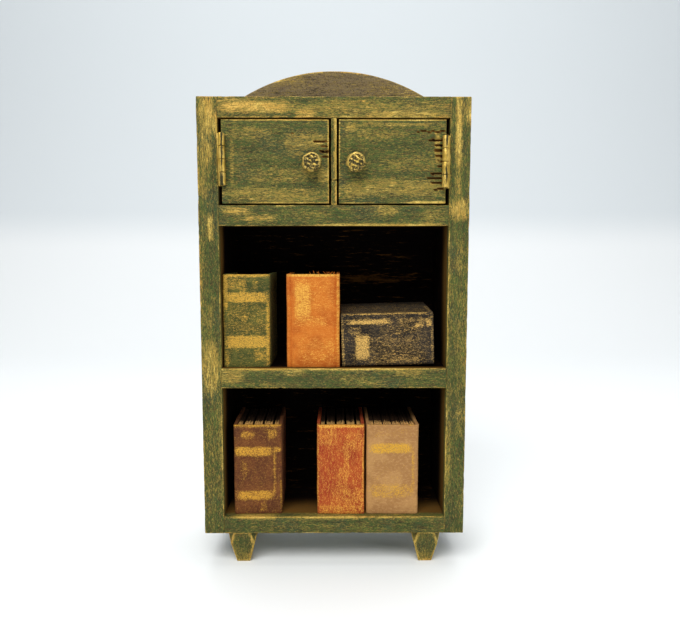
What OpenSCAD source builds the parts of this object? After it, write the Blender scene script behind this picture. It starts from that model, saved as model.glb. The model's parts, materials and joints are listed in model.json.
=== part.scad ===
// Miniature bookcase for a dolls house: a glued carcass of painted craft board with a two-door
// cupboard over two open compartments, an arched back, four tapered feet and six loose books.
// Millimetres. +Z is up and the doors face -Y. The origin is on the floor, at the middle of the
// bookcase's whole width and of its whole depth, knobs included.

/* [Carcass] */
// Width over the two side boards
carcass_w = 66; // [58:0.5:82]
// Height of the side boards, without feet or crest
carcass_h = 108.6; // [90:0.1:135]
// Depth of the side boards, without the back panel
carcass_d = 25; // [19:0.5:36]
// Thickness of the sides, top, cupboard floor and shelf
board_t = 5; // [3:0.1:6]
// Thickness of the bottom board
bottom_t = 4.4; // [2.5:0.1:6]
// Thickness of the back panel
back_t = 2.4; // [1.2:0.1:4]
// Rise of the arched crest above the top board
crest_rise = 12.8; // [6:0.1:20]
// Height of the opening behind the doors
cupboard_h = 20.7; // [17:0.1:25]
// Share of the open height that the middle compartment takes
middle_share = 0.514; // [0.47:0.005:0.53]

/* [Cupboard divider] */
// Thickness of the divider between the doors
divider_t = 1.4; // [1:0.1:3]
// Height of the divider's lower piece
divider_foot = 6; // [2:0.5:14]

/* [Feet] */
// Height of a foot
foot_h = 8.8; // [4:0.1:14]
// Side of a foot's square top
foot_top = 7.9; // [5:0.1:9]
// Side of a foot's square tip
foot_tip = 3.4; // [2:0.1:4.5]
// Cut at a foot's top corners, along each side
foot_chamfer = 2; // [0.5:0.1:2.2]
// Height over which the corner cut runs out
foot_chamfer_h = 3.5; // [1:0.1:4]
// From the outside of a side board to a foot
foot_side_inset = 5.4; // [5:0.1:12]
// From the front or back edge of the bottom board to a foot
foot_setback = 0.6; // [0:0.1:4]

/* [Doors] */
// Thickness of a door
door_t = 3; // [2.4:0.1:5]
// Gap above a door
door_top_gap = 0.4; // [0.15:0.05:0.6]
// Gap below a door
door_bottom_gap = 0.4; // [0.15:0.05:0.8]
// Gap between a door's free edge and the divider
door_meet_gap = 0.5; // [0.45:0.05:1]

/* [Hinges] */
// Length of a hinge's barrel
hinge_l = 12.4; // [8:0.2:15]
// Outer diameter of the barrel
barrel_d = 1.65; // [1.4:0.05:2.4]
// Diameter of the pin
pin_d = 0.8; // [0.6:0.05:1]
// Radial clearance of the pin in the door's knuckles
pin_play = 0.05; // [0.03:0.01:0.1]
// Gap between neighbouring knuckles
knuckle_gap = 0.1; // [0.05:0.05:0.3]
// Gap between the barrel and the boards behind it
barrel_gap = 0.1; // [0.08:0.01:0.3]
// Thickness of a leaf
leaf_t = 0.35; // [0.2:0.05:0.6]
// Depth of a leaf in its gap
leaf_depth = 3; // [2:0.1:8]
// Gap between the two leaves of a closed hinge
leaf_gap = 0.2; // [0.1:0.05:0.5]
// How far the left hinge's middle is above the door's middle
hinge_rise = 0.45; // [0:0.05:1.5]
// How much lower the right hinge is fitted than the left one
right_hinge_drop = 0.55; // [0:0.05:1]
// How far a hinge's barrel stands from the middle of its gap, towards the door
hinge_shift = 0.7; // [0:0.05:0.8]

/* [Knobs] */
// Diameter of a knob
knob_d = 4.8; // [3:0.1:7]
// How far a knob stands out from its door
knob_l = 3.8; // [2.5:0.1:6]
// Diameter of the knob's neck
knob_neck_d = 2.6; // [2:0.1:3.5]
// Diameter of the spigot
spigot_d = 1.4; // [0.8:0.1:1.8]
// Length of the spigot
spigot_l = 1.9; // [1:0.1:2.2]
// From a door's free edge to the middle of its knob
knob_edge = 4.1; // [3.5:0.1:9]
// How far a knob's middle is below the door's middle
knob_drop = 0.4; // [0:0.1:2]

/* [Books] */
// Height of the books
book_h = 23.3; // [16:0.1:24]
// Thickness of the green book
green_t = 11.7; // [8:0.1:13]
// Thickness of the orange book
orange_t = 13.3; // [8:0.1:14]
// Thickness of the charcoal book, which lies flat
charcoal_t = 13.3; // [8:0.1:16]
// Thickness of the brown book
brown_t = 12.2; // [8:0.1:14]
// Thickness of the red book
red_t = 12.1; // [8:0.1:14]
// Thickness of the tan book
tan_t = 13.3; // [8:0.1:14]
// Thickness of a cover
cover_t = 0.8; // [0.4:0.1:1.2]
// Radius of the rounded corners of a spine
spine_r = 0.7; // [0.3:0.1:1.5]
// From the front of the shelf to a book's spine
book_setback = 1.8; // [1:0.1:4]
// From the fore edge of a book to the back panel
book_rear_gap = 4; // [1:0.1:8]
// How far the signatures stay inside the cover at the top, bottom and fore edge
page_inset = 0.9; // [0.2:0.1:2]
// Radius of a signature's fold
fold_r = 0.7; // [0.2:0.1:0.8]
// Gap between neighbouring signatures, and beside the outer ones
page_gap = 0.15; // [0.1:0.05:0.4]
// Gap between a standing book and the board under it
rest_gap = 0.05; // [0.02:0.01:0.1]

/* [Hidden] */
$fn = 48;

// Colours
paint_green = [0.29, 0.36, 0.20];
paint_olive = [0.42, 0.37, 0.20];
gilt = [0.72, 0.60, 0.28];
page_brown = [0.24, 0.16, 0.09];
cloth_green = [0.30, 0.37, 0.22];
cloth_orange = [0.80, 0.42, 0.14];
cloth_charcoal = [0.20, 0.20, 0.21];
cloth_brown = [0.36, 0.22, 0.15];
cloth_red = [0.68, 0.26, 0.14];
cloth_tan = [0.62, 0.45, 0.28];

// How far a cutting shape passes the faces it cuts
cut = 1;

// Depth: the whole footprint runs from the knobs to the back panel
front_y = (knob_l - carcass_d - back_t) / 2;
inner_back_y = front_y + carcass_d;

// Widths
clear_w = carcass_w - 2 * board_t;
hinge_gap = 2 * leaf_t + leaf_gap;
door_w = (clear_w - divider_t) / 2 - hinge_gap - door_meet_gap;
door_h = cupboard_h - door_top_gap - door_bottom_gap;

// Levels, from the floor up: each is the top face of a board
carcass_z = foot_h;
bottom_z = carcass_z + bottom_t;
open_h = carcass_h - 3 * board_t - bottom_t - cupboard_h;
middle_h = open_h * middle_share;
lower_h = open_h - middle_h;
shelf_z = bottom_z + lower_h + board_t;
cupboard_z = shelf_z + middle_h + board_t;
ceiling_z = cupboard_z + cupboard_h;
top_z = carcass_z + carcass_h;
door_z = cupboard_z + door_bottom_gap;

// Crest: the circle through both upper corners of the back and the top of the crest
crest_r = (pow(carcass_w / 2, 2) + pow(crest_rise, 2)) / (2 * crest_rise);

// Hinges: one barrel of four knuckles, in front of each hinge gap and the edge of its door
knuckle_count = 4;
knuckle_pitch = hinge_l / knuckle_count;
hinge_x = clear_w / 2 - hinge_gap / 2 - hinge_shift;
hinge_y = front_y - barrel_d / 2 - barrel_gap;
hinge_z = door_z + (door_h - hinge_l) / 2 + hinge_rise;

// Knobs: the middle of the left door's knob, and the clearance round its spigot
knob_x = -divider_t / 2 - door_meet_gap - knob_edge;
knob_z = door_z + door_h / 2 - knob_drop;
spigot_play = 0.02;

// Shares of a knob's length: where its rim starts, and the rim's height
rim_start_share = 0.42;
rim_height_share = 0.18;

// Middle row: gaps from the left wall to the right one. The lying book fills what is left.
green_wall_gap = 0.25;
green_gap = 4.2;
orange_gap = 0.6;
charcoal_end_gap = 2.8;
charcoal_lift = 0.6;
green_x = -clear_w / 2 + green_wall_gap;
orange_x = green_x + green_t + green_gap;
charcoal_x = orange_x + orange_t + orange_gap;
charcoal_l = clear_w / 2 - charcoal_end_gap - charcoal_x;

// Lower row: the free width is shared out beside the three books
lower_slack = clear_w - brown_t - red_t - tan_t;
left_share = 0.13;
brown_share = 0.49;
red_share = 0.03;
brown_turn = 1.5;
brown_x = -clear_w / 2 + lower_slack * left_share;
red_x = brown_x + brown_t + lower_slack * brown_share;
tan_x = red_x + red_t + lower_slack * red_share;
book_d = carcass_d - book_setback - book_rear_gap;

// A board given by its left, front and lower corner and its size
module board(corner, size) {
    translate(corner) cube(size);
}

// A full-height side board, on the side given by -1 or 1
module side_board(side) {
    x = side < 0 ? -carcass_w / 2 : clear_w / 2;
    color(paint_green) board([x, front_y, carcass_z], [board_t, carcass_d, carcass_h]);
}

module side_left() side_board(-1);
module side_right() side_board(1);

// A board glued between the sides, with its top face at the given level
module cross_board(top_level, thickness) {
    color(paint_green)
        board([-clear_w / 2, front_y, top_level - thickness], [clear_w, carcass_d, thickness]);
}

module top_board() cross_board(top_z, board_t);
module cupboard_floor() cross_board(cupboard_z, board_t);
module middle_shelf() cross_board(shelf_z, board_t);
module bottom_board() cross_board(bottom_z, bottom_t);

// Thin back, as wide as the carcass, whose top is a segment of a circle. The two shapes overlap
// below the corners, so that the arc alone ends in them.
module back_panel() {
    color(paint_olive)
        translate([0, inner_back_y + back_t, 0])
            rotate([90, 0, 0])
                linear_extrude(back_t) {
                    translate([-carcass_w / 2, carcass_z]) square([carcass_w, carcass_h - cut]);
                    intersection() {
                        translate([0, top_z + crest_rise - crest_r]) circle(crest_r);
                        translate([-carcass_w / 2, top_z - 2 * cut])
                            square([carcass_w, crest_rise + 3 * cut]);
                    }
                }
}

// A piece of the divider between the doors
module divider_piece(level, height) {
    color(paint_green)
        board([-divider_t / 2, front_y, level], [divider_t, carcass_d, height]);
}

module divider_upper() divider_piece(cupboard_z + divider_foot, cupboard_h - divider_foot);
module divider_lower() divider_piece(cupboard_z, divider_foot);

// A tapered profile of a foot, extruded through its width
module foot_taper() {
    rotate([90, 0, 0])
        linear_extrude(foot_top, center = true)
            polygon([
                [-foot_tip / 2, 0], [foot_tip / 2, 0],
                [foot_top / 2, foot_h], [-foot_top / 2, foot_h]
            ]);
}

// Square foot that tapers to its tip, with its top corners cut off in long triangles
module foot_block() {
    run_out_z = foot_h - foot_chamfer_h;
    run_out_r = (foot_tip + (foot_top - foot_tip) * run_out_z / foot_h) / sqrt(2);
    top_r = (foot_top - foot_chamfer) / sqrt(2);
    lean = atan((run_out_r - top_r) / foot_chamfer_h);
    difference() {
        intersection() {
            foot_taper();
            rotate([0, 0, 90]) foot_taper();
        }
        for (turn = [45:90:315])
            rotate([0, 0, turn])
                translate([run_out_r, 0, run_out_z])
                    rotate([0, -lean, 0])
                        translate([0, -foot_top / 2, 0])
                            cube([foot_top, foot_top, 2 * foot_chamfer_h]);
    }
}

// A foot under the bottom board, on the side given by -1 or 1, at the front or at the back
module foot(side, at_front) {
    reach = foot_setback + foot_top / 2;
    y = at_front ? front_y + reach : inner_back_y - reach;
    color(paint_olive)
        translate([side * (carcass_w / 2 - foot_side_inset - foot_top / 2), y, 0]) foot_block();
}

module foot_front_left() foot(-1, true);
module foot_front_right() foot(1, true);
module foot_back_left() foot(-1, false);
module foot_back_right() foot(1, false);

// Places a hinge piece, drawn about the barrel's foot with the door on +X, on its side
module at_hinge(side) {
    if (side < 0) translate([-hinge_x, hinge_y, hinge_z]) children();
    else mirror([1, 0, 0])
        translate([-hinge_x, hinge_y, hinge_z - right_hinge_drop]) children();
}

// A leaf and its own two knuckles; the frame's leaf holds the pin, the door's leaf turns on it
module hinge_leaf(is_door) {
    first = is_door ? 1 : 0;
    bore_d = is_door ? pin_d + 2 * pin_play : pin_d;
    neck_y = barrel_d / 2 - leaf_t;
    leaf_y = barrel_d / 2 + barrel_gap;
    x = (is_door ? leaf_gap / 2 : -leaf_gap / 2 - leaf_t) - hinge_shift;
    neck_start = min(x, 0);
    neck_w = max(x + leaf_t, 0) - neck_start;
    difference() {
        union() {
            translate([x, leaf_y, 0]) cube([leaf_t, leaf_depth, hinge_l]);
            for (i = [first:2:knuckle_count - 1])
                translate([0, 0, i * knuckle_pitch + knuckle_gap / 2]) {
                    cylinder(d = barrel_d, h = knuckle_pitch - knuckle_gap);
                    translate([x, neck_y, 0])
                        cube([leaf_t, leaf_y - neck_y + leaf_t, knuckle_pitch - knuckle_gap]);
                    translate([neck_start, neck_y, 0])
                        cube([neck_w, leaf_t, knuckle_pitch - knuckle_gap]);
                }
        }
        translate([0, 0, -cut]) cylinder(d = bore_d, h = hinge_l + 2 * cut);
    }
}

// Pin, as long as the barrel
module hinge_pin() {
    cylinder(d = pin_d, h = hinge_l);
}

module hinge_left_frame_leaf() color(gilt) at_hinge(-1) hinge_leaf(false);
module hinge_left_door_leaf() color(gilt) at_hinge(-1) hinge_leaf(true);
module hinge_left_pin() color(gilt) at_hinge(-1) hinge_pin();
module hinge_right_frame_leaf() color(gilt) at_hinge(1) hinge_leaf(false);
module hinge_right_door_leaf() color(gilt) at_hinge(1) hinge_leaf(true);
module hinge_right_pin() color(gilt) at_hinge(1) hinge_pin();

// Left door, flush with the carcass, with a blind hole for the knob's spigot
module door_panel() {
    difference() {
        board([-divider_t / 2 - door_meet_gap - door_w, front_y, door_z],
              [door_w, door_t, door_h]);
        translate([knob_x, front_y - cut, knob_z])
            rotate([-90, 0, 0])
                cylinder(d = spigot_d + 2 * spigot_play, h = spigot_l + spigot_play + cut);
    }
}

module door_left() color(paint_green) door_panel();
module door_right() color(paint_green) mirror([1, 0, 0]) door_panel();

// Turned knob on the left door: spigot, short neck, broad rim and domed face
module knob_body() {
    rim_z = knob_l * rim_start_share;
    rim_h = knob_l * rim_height_share;
    translate([knob_x, front_y, knob_z])
        rotate([90, 0, 0]) {
            translate([0, 0, -spigot_l]) cylinder(d = spigot_d, h = spigot_l);
            cylinder(d = knob_neck_d, h = knob_l / 2);
            translate([0, 0, rim_z - rim_h]) cylinder(d1 = knob_neck_d, d2 = knob_d, h = rim_h);
            translate([0, 0, rim_z]) cylinder(d = knob_d, h = rim_h);
            translate([0, 0, rim_z + rim_h]) knob_dome(knob_l - rim_z - rim_h);
        }
}

// Cap of a sphere, as wide as the knob and as high as asked
module knob_dome(height) {
    ball_r = (pow(knob_d / 2, 2) + pow(height, 2)) / (2 * height);
    intersection() {
        translate([0, 0, height - ball_r]) sphere(ball_r);
        cylinder(d = knob_d, h = height + cut);
    }
}

module knob_left() color(gilt) knob_body();
module knob_right() color(gilt) mirror([1, 0, 0]) knob_body();

// Flat outline with its two front corners rounded
module fold_outline(width, depth, radius) {
    translate([0, radius]) square([width, depth - radius]);
    translate([radius, 0]) square([width - 2 * radius, depth]);
    for (x = [radius, width - radius]) translate([x, radius]) circle(radius);
}

// Wrapped cover, standing, with its spine in front: left board, spine and right board
module cover_case(thickness, height) {
    linear_extrude(height)
        difference() {
            fold_outline(thickness, book_d, spine_r);
            translate([cover_t, cover_t]) square([thickness - 2 * cover_t, book_d]);
        }
}

// Folded signatures glued to the inside of the spine, each a separate solid
module signatures(thickness, height, count) {
    pitch = (thickness - 2 * cover_t - page_gap) / count;
    for (i = [0:count - 1])
        translate([cover_t + page_gap + i * pitch, cover_t, page_inset])
            linear_extrude(height - 2 * page_inset)
                fold_outline(pitch - page_gap, book_d - cover_t - page_inset, fold_r);
}

// Places a standing book by its left front corner, turned to its own left
module standing(x, level, turn = 0) {
    translate([x, front_y + book_setback, level + rest_gap]) rotate([0, 0, turn]) children();
}

// Lays the charcoal book on its left board, with its right end a little raised
module lying() {
    lean = asin(charcoal_lift / charcoal_l);
    translate([charcoal_x, front_y + book_setback, shelf_z + rest_gap])
        rotate([0, -lean, 0])
            translate([charcoal_l, 0, 0])
                rotate([0, -90, 0])
                    children();
}

// The cover or the signatures of a standing book, as the part asked for says
module standing_book(part, tint, thickness, count, x, level, turn = 0) {
    standing(x, level, turn)
        if (part == "cover") color(tint) cover_case(thickness, book_h);
        else color(page_brown) signatures(thickness, book_h, count);
}

module green_book(part) standing_book(part, cloth_green, green_t, 4, green_x, shelf_z);
module book_green_cover() green_book("cover");
module book_green_pages() green_book("pages");

module orange_book(part) standing_book(part, cloth_orange, orange_t, 5, orange_x, shelf_z);
module book_orange_cover() orange_book("cover");
module book_orange_pages() orange_book("pages");

module brown_book(part) standing_book(part, cloth_brown, brown_t, 4, brown_x, bottom_z, brown_turn);
module book_brown_cover() brown_book("cover");
module book_brown_pages() brown_book("pages");

module red_book(part) standing_book(part, cloth_red, red_t, 4, red_x, bottom_z);
module book_red_cover() red_book("cover");
module book_red_pages() red_book("pages");

module tan_book(part) standing_book(part, cloth_tan, tan_t, 5, tan_x, bottom_z);
module book_tan_cover() tan_book("cover");
module book_tan_pages() tan_book("pages");

module book_charcoal_cover() color(cloth_charcoal) lying() cover_case(charcoal_t, charcoal_l);
module book_charcoal_pages() color(page_brown) lying() signatures(charcoal_t, charcoal_l, 5);

side_left();
side_right();
top_board();
cupboard_floor();
middle_shelf();
bottom_board();
back_panel();
divider_upper();
divider_lower();
foot_front_left();
foot_front_right();
foot_back_left();
foot_back_right();
hinge_left_frame_leaf();
hinge_left_pin();
hinge_left_door_leaf();
hinge_right_frame_leaf();
hinge_right_pin();
hinge_right_door_leaf();
door_left();
door_right();
knob_left();
knob_right();
book_green_cover();
book_green_pages();
book_orange_cover();
book_orange_pages();
book_charcoal_cover();
book_charcoal_pages();
book_brown_cover();
book_brown_pages();
book_red_cover();
book_red_pages();
book_tan_cover();
book_tan_pages();
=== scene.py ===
import json
import math
import random

import bmesh
import bpy
import numpy as np
from mathutils import Matrix, Vector, noise

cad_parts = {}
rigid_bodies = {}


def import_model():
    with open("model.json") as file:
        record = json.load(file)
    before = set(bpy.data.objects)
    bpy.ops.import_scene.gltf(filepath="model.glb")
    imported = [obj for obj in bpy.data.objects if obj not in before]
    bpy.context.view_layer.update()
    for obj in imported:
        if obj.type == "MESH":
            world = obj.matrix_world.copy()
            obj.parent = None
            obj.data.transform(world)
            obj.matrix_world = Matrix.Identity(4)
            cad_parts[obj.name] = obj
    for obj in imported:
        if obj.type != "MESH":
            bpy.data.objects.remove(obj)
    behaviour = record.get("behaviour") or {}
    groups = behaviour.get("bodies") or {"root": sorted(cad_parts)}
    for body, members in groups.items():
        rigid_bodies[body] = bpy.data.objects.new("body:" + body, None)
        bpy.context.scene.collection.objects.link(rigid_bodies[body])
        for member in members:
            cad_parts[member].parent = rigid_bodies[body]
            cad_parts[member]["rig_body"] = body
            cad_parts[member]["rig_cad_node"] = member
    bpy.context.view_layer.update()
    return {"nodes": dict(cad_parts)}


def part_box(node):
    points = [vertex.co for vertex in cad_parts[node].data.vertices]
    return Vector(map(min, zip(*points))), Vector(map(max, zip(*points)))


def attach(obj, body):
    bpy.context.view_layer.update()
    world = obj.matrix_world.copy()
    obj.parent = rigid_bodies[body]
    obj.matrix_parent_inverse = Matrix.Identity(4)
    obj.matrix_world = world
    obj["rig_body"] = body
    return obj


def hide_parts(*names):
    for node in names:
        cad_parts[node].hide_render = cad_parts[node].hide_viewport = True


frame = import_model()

mm = 0.001
noise.seed_set(1)  # noise_vector follows the clock without it, and each run would differ
print("frame loaded:", len(frame["nodes"]), "nodes")


def deselectAll():
    if bpy.context.object and bpy.context.object.mode == "EDIT":
        bpy.ops.object.mode_set(mode="OBJECT")
    bpy.ops.object.select_all(action="DESELECT")


def choose(piece):
    deselectAll()
    piece.select_set(True)
    bpy.context.view_layer.objects.active = piece


def openEdit(piece, kind="EDGE"):
    choose(piece)
    bpy.ops.object.mode_set(mode="EDIT")
    bpy.ops.mesh.select_mode(type=kind)
    bpy.ops.mesh.select_all(action="DESELECT")


def openWhole(piece, kind="VERT"):
    openEdit(piece, kind)
    bpy.ops.mesh.select_all(action="SELECT")


def closeEdit():
    bpy.ops.object.mode_set(mode="OBJECT")


def pick(piece, kind, wanted):
    # selects the edges, faces or vertices for which wanted(element) is true
    shape = bmesh.from_edit_mesh(piece.data)
    found = 0
    for element in getattr(shape, kind):
        if wanted(element):
            element.select_set(True)
            found += 1
    bmesh.update_edit_mesh(piece.data)
    return found


def startCube(name, low, high):
    deselectAll()
    bpy.ops.mesh.primitive_cube_add(size=1, location=(low + high) / 2)
    piece = bpy.context.active_object
    piece.name = name
    piece.scale = high - low
    bpy.ops.object.transform_apply(location=True, rotation=True, scale=True)
    return piece


def cutAlong(piece, axis, step):
    # splits every long edge that runs along the axis, in edit mode
    bpy.ops.mesh.select_all(action="DESELECT")
    longest = [0.0]

    def runsAlong(edge):
        line = edge.verts[1].co - edge.verts[0].co
        span = abs(line[axis])
        if span < 0.9 * line.length or span < 1.5 * step:
            return False
        longest[0] = max(longest[0], span)
        return True

    if pick(piece, "edges", runsAlong):
        bpy.ops.mesh.subdivide(number_cuts=max(1, round(longest[0] / step) - 1))


def finishModifiers(piece):
    choose(piece)
    for modifier in list(piece.modifiers):
        bpy.ops.object.modifier_apply(modifier=modifier.name)


def mergeAndTurnOut(piece, near=0.002 * mm):
    openWhole(piece)
    bpy.ops.mesh.remove_doubles(threshold=near)
    bpy.ops.mesh.normals_make_consistent(inside=False)
    closeEdit()


def joinPieces(pieces, name):
    deselectAll()
    for piece in pieces:
        piece.select_set(True)
    bpy.context.view_layer.objects.active = pieces[0]
    if len(pieces) > 1:
        bpy.ops.object.join()
    pieces[0].name = name
    return pieces[0]


def copyPiece(piece):
    copy = piece.copy()
    copy.data = piece.data.copy()
    bpy.context.scene.collection.objects.link(copy)
    return copy


def smoothStep(value, start, end):
    share = min(1.0, max(0.0, (value - start) / (end - start)))
    return share * share * (3 - 2 * share)


def points(piece):
    places = np.empty(len(piece.data.vertices) * 3, np.float64)
    piece.data.vertices.foreach_get("co", places)
    return places.reshape(-1, 3)


def mark(piece, name, values):
    # stores a number or a vector for each point, for the materials to read
    values = np.asarray(values, np.float32)
    if values.shape == (3,):
        values = np.tile(values, (len(piece.data.vertices), 1))
    kind = "FLOAT" if values.ndim == 1 else "FLOAT_VECTOR"
    layer = piece.data.attributes.new(name, kind, "POINT")
    layer.data.foreach_set("value" if values.ndim == 1 else "vector", values.ravel())


def roughen(piece, amount, size, seed):
    # hand-made unevenness in millimetres: every point drifts a little with a smooth noise
    amount *= mm
    size *= mm
    offset = Vector((seed * 3.1, seed * 1.7, seed * 2.3))
    for vertex in piece.data.vertices:
        vertex.co += noise.noise_vector(vertex.co / size + offset) * amount


def finishPiece(piece, material, body, slot, *nodes):
    piece.data.materials.clear()
    piece.data.materials.append(material)
    choose(piece)
    bpy.ops.object.shade_smooth_by_angle(angle=math.radians(40))
    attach(piece, body)
    if nodes:
        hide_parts(*nodes)
    return piece


studio = {
    "cameraPlace": (0.0007, -0.1664, 0.0801), "tiltDown": 5.62, "turnRight": 0.29, "lens": 33.3,
    "floorSize": 2.4, "sweepStart": 0.30, "sweepRadius": 0.35, "sweepTurns": 16, "wallHeight": 0.8,
    # painted shade: the wall colour is darker and cooler than the floor's
    "floorWhite": (240, 243, 245), "wallInPaintedShade": (221, 227, 231), "wallFrom": 0.085, "wallTo": 0.135,
    "skyColour": (0.88, 0.91, 0.94), "skyStrength": 0.3,
}


def makeCamera():
    data = bpy.data.cameras.new("camera")
    data.lens = studio["lens"]
    data.sensor_width = 36
    data.clip_start = 0.01
    camera = bpy.data.objects.new("camera", data)
    camera.location = studio["cameraPlace"]
    camera.rotation_euler = (
        math.radians(90 - studio["tiltDown"]), 0, -math.radians(studio["turnRight"]))
    bpy.context.scene.collection.objects.link(camera)
    bpy.context.scene.camera = camera


def makeFloor(material):
    # a flat sheet whose far edge is extruded up in a round sweep
    deselectAll()
    half = studio["floorSize"] / 2
    bpy.ops.mesh.primitive_plane_add(size=1)
    floor = bpy.context.active_object
    floor.name = "studio_floor"
    floor.scale = (2 * half, half + studio["sweepStart"], 1)
    floor.location = (0, (studio["sweepStart"] - half) / 2, 0)
    bpy.ops.object.transform_apply(location=True, scale=True)
    openEdit(floor)
    pick(floor, "edges", lambda e: all(v.co.y > studio["sweepStart"] - mm for v in e.verts))
    bpy.ops.mesh.extrude_region_move()
    turns = studio["sweepTurns"]
    for turn in range(turns):
        angle = math.pi / 2 * (turn + 0.5) / turns
        step = studio["sweepRadius"] * math.pi / 2 / turns
        bpy.ops.transform.translate(value=(0, step * math.cos(angle), step * math.sin(angle)))
        if turn < turns - 1:
            bpy.ops.mesh.extrude_region_move()
    bpy.ops.mesh.extrude_region_move(TRANSFORM_OT_translate={"value": (0, 0, studio["wallHeight"])})
    closeEdit()
    floor.data.materials.append(material)
    bpy.ops.object.shade_smooth()


def areaLight(name, place, target, size, power, colour):
    data = bpy.data.lights.new(name, "AREA")
    data.shape = "RECTANGLE"
    data.size, data.size_y = size
    data.energy = power
    data.color = colour
    lamp = bpy.data.objects.new(name, data)
    lamp.location = place
    lamp.rotation_euler = (Vector(target) - Vector(place)).to_track_quat("-Z", "Y").to_euler()
    bpy.context.scene.collection.objects.link(lamp)


# each light is a place, a target, a size, a power and a colour
lights = {
    "key": ((-0.12, -0.46, 0.58), (0, 0, 0.06), (0.5, 0.35), 4.6, (1.0, 0.985, 0.95)),
    "top": ((0.04, 0.14, 0.85), (0, 0.04, 0), (0.7, 0.5), 3.4, (1.0, 0.99, 0.97)),
    "fill": ((0.55, -0.4, 0.25), (0, 0, 0.06), (0.4, 0.4), 0.9, (0.97, 0.99, 1.0)),
    "back": ((0.0, 0.1, 0.9), (0, 0.6, 0.2), (2.4, 0.5), 0.7, (0.97, 0.99, 1.0)),
}


def makeLights():
    for name, settings in lights.items():
        areaLight(name, *settings)
    world = bpy.data.worlds.new("studioSky")
    world.use_nodes = True
    sky = world.node_tree.nodes["Background"].inputs
    sky["Color"].default_value = (*studio["skyColour"], 1)
    sky["Strength"].default_value = studio["skyStrength"]
    bpy.context.scene.world = world


def tint(red, green, blue):
    # a colour as a screen shows it, 0 to 255, for a shader socket
    linear = [((c / 255 + 0.055) / 1.055) ** 2.4 if c > 10 else c / 255 / 12.92
              for c in (red, green, blue)]
    return (*linear, 1.0)


def addNode(tree, kind, inputs=None, **settings):
    made = tree.nodes.new(kind)
    for key, value in settings.items():
        setattr(made, key, value)
    for key, value in (inputs or {}).items():
        if isinstance(value, bpy.types.NodeSocket):
            tree.links.new(value, made.inputs[key])
        else:
            made.inputs[key].default_value = value
    return made


def calc(tree, operation, first, second=0.0, clamp=False):
    return addNode(tree, "ShaderNodeMath", {0: first, 1: second},
                   operation=operation, use_clamp=clamp).outputs[0]


def times(tree, first, second):
    return calc(tree, "MULTIPLY", first, second)


def plus(tree, first, second):
    return calc(tree, "ADD", first, second)


def noiseField(tree, place, scale, detail=2.0, roughness=0.5, output="Fac"):
    return addNode(tree, "ShaderNodeTexNoise",
                   {"Vector": place, "Scale": scale, "Detail": detail, "Roughness": roughness},
                   ).outputs[output]


def vectorCalc(tree, operation, first, second):
    return addNode(tree, "ShaderNodeVectorMath", {0: first, 1: second},
                   operation=operation).outputs[0]


def blendColours(tree, share, first, second):
    return addNode(tree, "ShaderNodeMix", {0: share, 6: first, 7: second},
                   data_type="RGBA").outputs[2]


def ramp(tree, value, fromLow, fromHigh, toLow=0.0, toHigh=1.0, smooth=True):
    return addNode(tree, "ShaderNodeMapRange",
                   {"Value": value, "From Min": fromLow, "From Max": fromHigh,
                    "To Min": toLow, "To Max": toHigh},
                   interpolation_type="SMOOTHSTEP" if smooth else "LINEAR").outputs[0]


def attribute(tree, name, vector=False):
    node = addNode(tree, "ShaderNodeAttribute", attribute_name=name)
    return node.outputs["Vector" if vector else "Fac"]


def startGroup(name, inputs, outputs):
    tree = bpy.data.node_groups.new(name, "ShaderNodeTree")
    for label, kind, value in inputs:
        socket = tree.interface.new_socket(label, in_out="INPUT", socket_type=kind)
        socket.default_value = value
    for label, kind in outputs:
        tree.interface.new_socket(label, in_out="OUTPUT", socket_type=kind)
    return tree, tree.nodes.new("NodeGroupInput").outputs, tree.nodes.new("NodeGroupOutput").inputs


def useGroup(tree, group, inputs):
    return addNode(tree, "ShaderNodeGroup", inputs, node_tree=group).outputs


number = "NodeSocketFloat"
vector = "NodeSocketVector"


def makeDryBrush():
    # paint dragged over a rough surface: broken streaks, more of them where coverage is higher
    tree, given, result = startGroup(
        "dryBrush",
        [("Place", vector, (0, 0, 0)), ("Stretch", vector, (1, 1, 1)), ("Scale", number, 1500.0),
         ("Coverage", number, 0.3), ("Softness", number, 0.15), ("Seed", number, 0.0)],
        [("Mask", number)])
    drawn = vectorCalc(tree, "MULTIPLY", given["Place"], given["Stretch"])
    seed = addNode(tree, "ShaderNodeCombineXYZ", {0: given["Seed"], 2: given["Seed"]}).outputs[0]
    shifted = vectorCalc(tree, "ADD", drawn, seed)
    fine = noiseField(tree, shifted, given["Scale"], 5.0, 0.75)
    broad = noiseField(tree, shifted, times(tree, given["Scale"], 0.3))
    grain = plus(tree, times(tree, fine, 0.84), times(tree, broad, 0.16))
    level = ramp(tree, grain, 0.33, 0.67, smooth=False)
    edge = calc(tree, "SUBTRACT", 1.0, given["Coverage"])
    low = calc(tree, "SUBTRACT", edge, given["Softness"])
    high = calc(tree, "ADD", edge, given["Softness"])
    tree.links.new(ramp(tree, level, low, high), result["Mask"])
    return tree


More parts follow.
